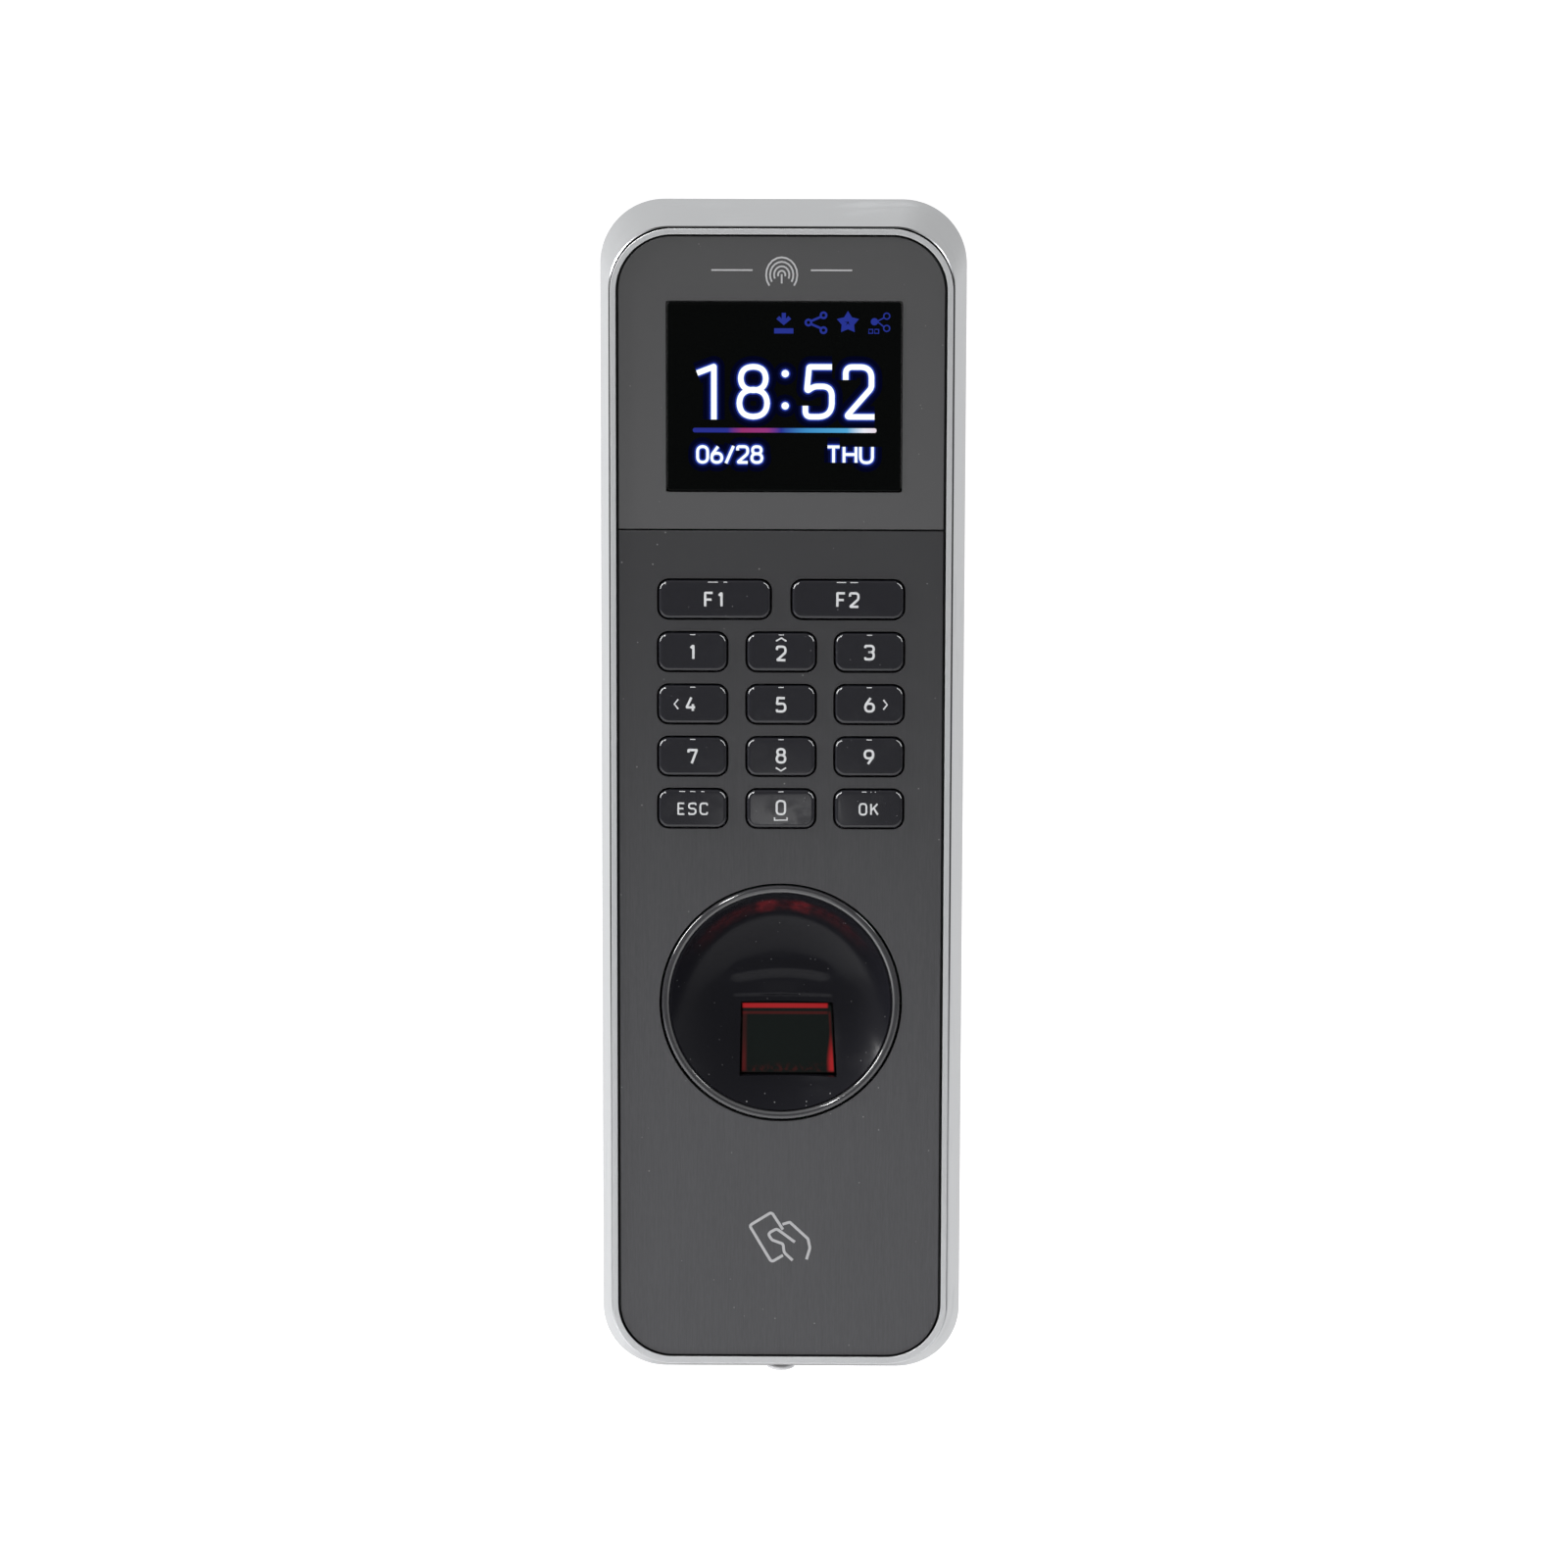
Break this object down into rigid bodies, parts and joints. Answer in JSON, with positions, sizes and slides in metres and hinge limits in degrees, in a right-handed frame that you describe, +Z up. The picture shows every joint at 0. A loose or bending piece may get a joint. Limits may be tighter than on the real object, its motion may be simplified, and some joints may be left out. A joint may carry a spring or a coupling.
{
  "type": "fingerprint scanner terminal",
  "caption": "Slim wall-mounted access terminal with a round finger recess, a small display, raised keys and a card reader, on a steel wall bracket",
  "frame": {"origin": "centre of the wall bracket's rear face, half-way up the terminal", "axes": "+Z up, +Y into the wall, the keypad and display face -Y, +X to the right as a user sees it"},
  "size_m": [0.058, 0.0396, 0.1902],
  "materials": {
    "housing_silver": "smooth silver paint on die-cast metal",
    "ring_silver": "satin, sand-blasted silver",
    "panel_dark": "satin dark grey",
    "brushed_dark": "dark grey, brushed along its height",
    "key_black": "clear gloss over black with white legends",
    "bowl_black": "piano black",
    "light_ring": "smoked clear light guide",
    "sensor_glass": "polished dark glass lit red at its edges",
    "screen_window": "polished black display window",
    "lcd_steel": "tinned steel bezel",
    "grey_rubber": "matt moulded silicone",
    "board_green": "green solder mask",
    "black_plastic": "fine-textured moulding",
    "screw_steel": "plain steel",
    "zinc_steel": "zinc-plated sheet",
    "terminal_green": "moulded terminal block",
    "cable_white": "flat ribbon film"
  },
  "bodies": {
    "terminal": {"main_housing": "housing_silver", "front_frame": "ring_silver", "display_panel": "panel_dark", "keypad_plate": "brushed_dark", "sensor_bowl": "bowl_black", "status_light_ring": "light_ring", "sensor_glass": "sensor_glass", "display_window": "screen_window", "lcd_module": "lcd_steel", "display_gasket": "grey_rubber", "keypad_mat": "grey_rubber", "rear_seal": "grey_rubber", "keypad_board": "board_green", "card_antenna_board": "board_green", "main_board": "board_green", "sensor_board": "board_green", "rear_cover": "black_plastic", "buzzer": "black_plastic", "battery_holder": "black_plastic", "tamper_switch": "black_plastic", "sensor_module": "black_plastic", "cover_screw_1": "screw_steel", "cover_screw_2": "screw_steel", "cover_screw_3": "screw_steel", "cover_screw_4": "screw_steel", "cover_screw_5": "screw_steel", "cover_screw_6": "screw_steel", "board_screw_1": "screw_steel", "board_screw_2": "screw_steel", "board_screw_3": "screw_steel", "board_screw_4": "screw_steel", "frame_screw_top": "screw_steel", "frame_screw_bottom": "screw_steel", "bracket_lock_screw": "screw_steel", "coin_cell": "screw_steel", "network_socket": "screw_steel", "wall_bracket": "zinc_steel", "power_terminal": "terminal_green", "signal_terminal": "terminal_green", "display_cable": "cable_white", "keypad_cable": "cable_white", "sensor_cable": "cable_white"},
    "key_f1_cap": {"key_f1": "key_black"},
    "key_f2_cap": {"key_f2": "key_black"},
    "key_1_cap": {"key_1": "key_black"},
    "key_2_cap": {"key_2": "key_black"},
    "key_3_cap": {"key_3": "key_black"},
    "key_4_cap": {"key_4": "key_black"},
    "key_5_cap": {"key_5": "key_black"},
    "key_6_cap": {"key_6": "key_black"},
    "key_7_cap": {"key_7": "key_black"},
    "key_8_cap": {"key_8": "key_black"},
    "key_9_cap": {"key_9": "key_black"},
    "key_esc_cap": {"key_esc": "key_black"},
    "key_0_cap": {"key_0": "key_black"},
    "key_ok_cap": {"key_ok": "key_black"},
    "tamper_pin": {"tamper_plunger": "black_plastic"}
  },
  "joints": [
    {"name": "key_f1_press", "type": "slide", "parent": "terminal", "child": "key_f1_cap", "axis": [0, 1, 0], "range_m": [0, 0.0011], "stiffness_N_per_m": 600, "springref_m": -0.001},
    {"name": "key_f2_press", "type": "slide", "parent": "terminal", "child": "key_f2_cap", "axis": [0, 1, 0], "range_m": [0, 0.0011], "stiffness_N_per_m": 600, "springref_m": -0.001},
    {"name": "key_1_press", "type": "slide", "parent": "terminal", "child": "key_1_cap", "axis": [0, 1, 0], "range_m": [0, 0.0011], "stiffness_N_per_m": 600, "springref_m": -0.001},
    {"name": "key_2_press", "type": "slide", "parent": "terminal", "child": "key_2_cap", "axis": [0, 1, 0], "range_m": [0, 0.0011], "stiffness_N_per_m": 600, "springref_m": -0.001},
    {"name": "key_3_press", "type": "slide", "parent": "terminal", "child": "key_3_cap", "axis": [0, 1, 0], "range_m": [0, 0.0011], "stiffness_N_per_m": 600, "springref_m": -0.001},
    {"name": "key_4_press", "type": "slide", "parent": "terminal", "child": "key_4_cap", "axis": [0, 1, 0], "range_m": [0, 0.0011], "stiffness_N_per_m": 600, "springref_m": -0.001},
    {"name": "key_5_press", "type": "slide", "parent": "terminal", "child": "key_5_cap", "axis": [0, 1, 0], "range_m": [0, 0.0011], "stiffness_N_per_m": 600, "springref_m": -0.001},
    {"name": "key_6_press", "type": "slide", "parent": "terminal", "child": "key_6_cap", "axis": [0, 1, 0], "range_m": [0, 0.0011], "stiffness_N_per_m": 600, "springref_m": -0.001},
    {"name": "key_7_press", "type": "slide", "parent": "terminal", "child": "key_7_cap", "axis": [0, 1, 0], "range_m": [0, 0.0011], "stiffness_N_per_m": 600, "springref_m": -0.001},
    {"name": "key_8_press", "type": "slide", "parent": "terminal", "child": "key_8_cap", "axis": [0, 1, 0], "range_m": [0, 0.0011], "stiffness_N_per_m": 600, "springref_m": -0.001},
    {"name": "key_9_press", "type": "slide", "parent": "terminal", "child": "key_9_cap", "axis": [0, 1, 0], "range_m": [0, 0.0011], "stiffness_N_per_m": 600, "springref_m": -0.001},
    {"name": "key_esc_press", "type": "slide", "parent": "terminal", "child": "key_esc_cap", "axis": [0, 1, 0], "range_m": [0, 0.0011], "stiffness_N_per_m": 600, "springref_m": -0.001},
    {"name": "key_0_press", "type": "slide", "parent": "terminal", "child": "key_0_cap", "axis": [0, 1, 0], "range_m": [0, 0.0011], "stiffness_N_per_m": 600, "springref_m": -0.001},
    {"name": "key_ok_press", "type": "slide", "parent": "terminal", "child": "key_ok_cap", "axis": [0, 1, 0], "range_m": [0, 0.0011], "stiffness_N_per_m": 600, "springref_m": -0.001},
    {"name": "tamper_press", "type": "slide", "parent": "terminal", "child": "tamper_pin", "axis": [0, 1, 0], "range_m": [-0.0012, 0], "stiffness_N_per_m": 300, "springref_m": 0.001}
  ]
}
